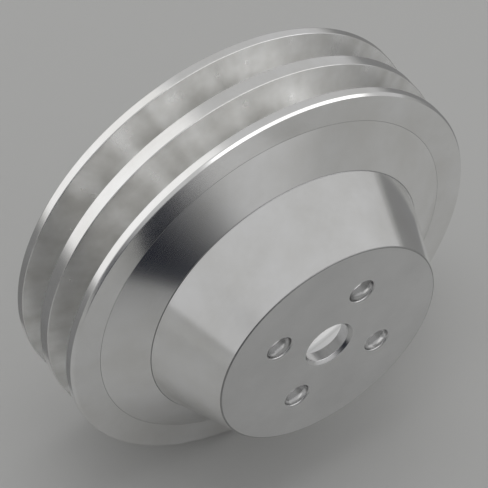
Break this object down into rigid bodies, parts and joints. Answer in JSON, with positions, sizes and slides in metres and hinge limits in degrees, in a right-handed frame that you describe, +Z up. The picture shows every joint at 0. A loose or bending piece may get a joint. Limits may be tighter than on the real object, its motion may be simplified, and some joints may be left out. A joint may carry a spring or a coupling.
{
  "type": "two-groove v-belt pulley",
  "caption": "Machined aluminium V-belt pulley with twin grooves, a long conical hub and a flat bolt-on nose with a pilot bore.",
  "frame": {"origin": "centre of the web's back face, where the pulley seats on the drive hub", "axes": "-Y along the shaft axis towards the hub's nose, +Y towards the open back; +Z up"},
  "size_m": [0.1504, 0.0658, 0.1504],
  "materials": {
    "aluminium": "fine turned, satin in the grooves"
  },
  "bodies": {
    "root": {"pulley": "aluminium"}
  },
  "joints": []
}
